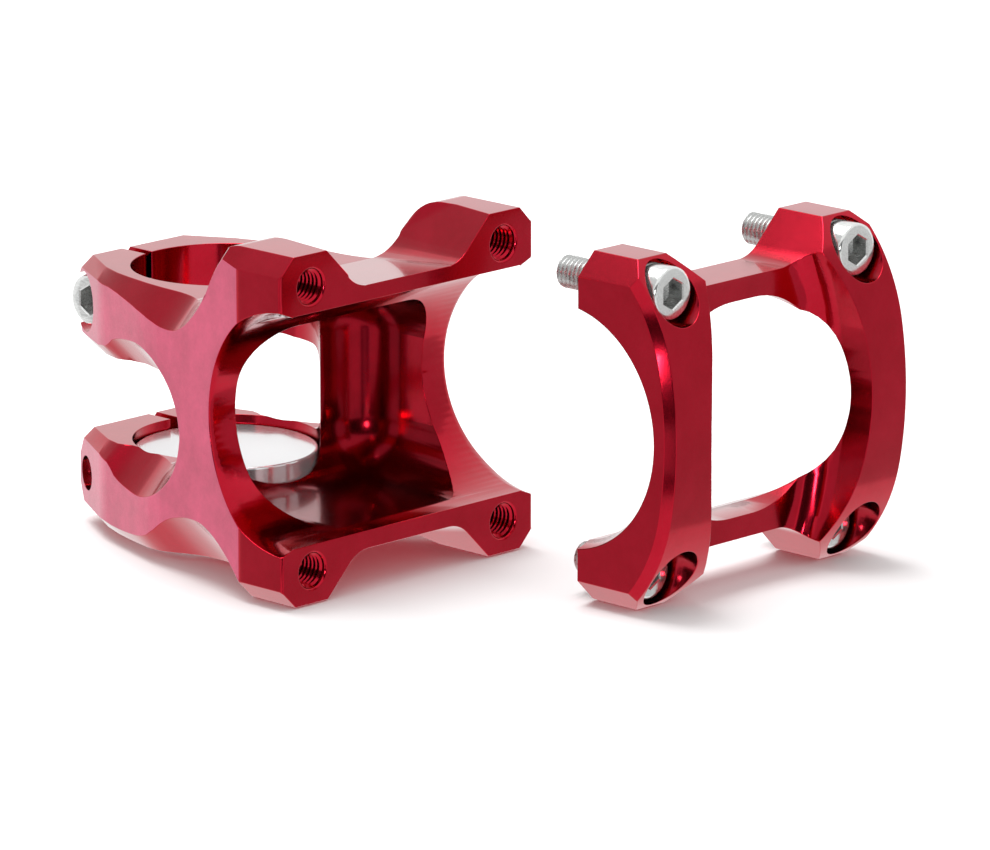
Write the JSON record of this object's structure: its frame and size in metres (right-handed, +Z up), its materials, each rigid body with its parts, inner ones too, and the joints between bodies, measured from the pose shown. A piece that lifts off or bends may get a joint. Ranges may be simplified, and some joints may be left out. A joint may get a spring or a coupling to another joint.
{
  "type": "handlebar stem",
  "caption": "Short machined handlebar stem with split steerer rings, a pocketed body and a loose bolted faceplate for the bar clamp.",
  "frame": {"origin": "on the steerer axis, at the bottom plane of the steerer clamp", "axes": "+Z up along the steerer axis, +X forward to the handlebar, +Y to the rider's left"},
  "size_m": [0.1086, 0.0866, 0.053],
  "materials": {
    "anodised_red": "red anodised, satin, machined",
    "bolt_steel": "bright plated",
    "washer_steel": "plain",
    "bright_plug": "polished"
  },
  "bodies": {
    "stem_body": {"stem_body": "anodised_red"},
    "faceplate": {"faceplate": "anodised_red"},
    "washer_upper_right": {"washer_upper_right": "washer_steel"},
    "washer_upper_left": {"washer_upper_left": "washer_steel"},
    "washer_lower_right": {"washer_lower_right": "washer_steel"},
    "washer_lower_left": {"washer_lower_left": "washer_steel"},
    "bolt_upper_right": {"bolt_upper_right": "bolt_steel"},
    "bolt_upper_left": {"bolt_upper_left": "bolt_steel"},
    "bolt_lower_right": {"bolt_lower_right": "bolt_steel"},
    "bolt_lower_left": {"bolt_lower_left": "bolt_steel"},
    "pinch_washer_upper": {"pinch_washer_upper": "washer_steel"},
    "pinch_washer_lower": {"pinch_washer_lower": "washer_steel"},
    "pinch_bolt_upper": {"pinch_bolt_upper": "bolt_steel"},
    "pinch_bolt_lower": {"pinch_bolt_lower": "bolt_steel"},
    "steerer_plug": {"steerer_plug": "bright_plug"}
  },
  "joints": [
    {"name": "faceplate_fit", "type": "slide", "parent": "stem_body", "child": "faceplate", "axis": [-0.4884, -0.8726, 0], "range_m": [0, 0.0385]},
    {"name": "upper_right_draw", "type": "slide", "parent": "faceplate", "child": "washer_upper_right", "axis": [1, 0, 0], "range_m": [0, 0.018]},
    {"name": "upper_left_draw", "type": "slide", "parent": "faceplate", "child": "washer_upper_left", "axis": [1, 0, 0], "range_m": [0, 0.018]},
    {"name": "lower_right_draw", "type": "slide", "parent": "faceplate", "child": "washer_lower_right", "axis": [1, 0, 0], "range_m": [0, 0.01]},
    {"name": "lower_left_draw", "type": "slide", "parent": "faceplate", "child": "washer_lower_left", "axis": [1, 0, 0], "range_m": [0, 0.01]},
    {"name": "upper_right_spin", "type": "hinge", "parent": "washer_upper_right", "child": "bolt_upper_right", "pos_m": [0.0763, 0.01345, 0.047], "axis": [1, 0, 0], "continuous": true},
    {"name": "upper_left_spin", "type": "hinge", "parent": "washer_upper_left", "child": "bolt_upper_left", "pos_m": [0.0763, 0.05375, 0.047], "axis": [1, 0, 0], "continuous": true},
    {"name": "lower_right_spin", "type": "hinge", "parent": "washer_lower_right", "child": "bolt_lower_right", "pos_m": [0.072, 0.01345, 0.004], "axis": [1, 0, 0], "continuous": true},
    {"name": "lower_left_spin", "type": "hinge", "parent": "washer_lower_left", "child": "bolt_lower_left", "pos_m": [0.072, 0.05375, 0.004], "axis": [1, 0, 0], "continuous": true},
    {"name": "upper_pinch_travel", "type": "slide", "parent": "stem_body", "child": "pinch_washer_upper", "axis": [0, -1, 0], "range_m": [0, 0.0025]},
    {"name": "upper_pinch_turn", "type": "hinge", "parent": "pinch_washer_upper", "child": "pinch_bolt_upper", "pos_m": [-0.0188, -0.0068, 0.0339], "axis": [0, -1, 0], "continuous": true},
    {"name": "lower_pinch_travel", "type": "slide", "parent": "stem_body", "child": "pinch_washer_lower", "axis": [0, 1, 0], "range_m": [0, 0.0025]},
    {"name": "lower_pinch_turn", "type": "hinge", "parent": "pinch_washer_lower", "child": "pinch_bolt_lower", "pos_m": [-0.0188, 0.0068, 0.0069], "axis": [0, 1, 0], "continuous": true},
    {"name": "plug_lift", "type": "slide", "parent": "stem_body", "child": "steerer_plug", "axis": [0, 0, 1], "range_m": [0, 0.03]}
  ]
}
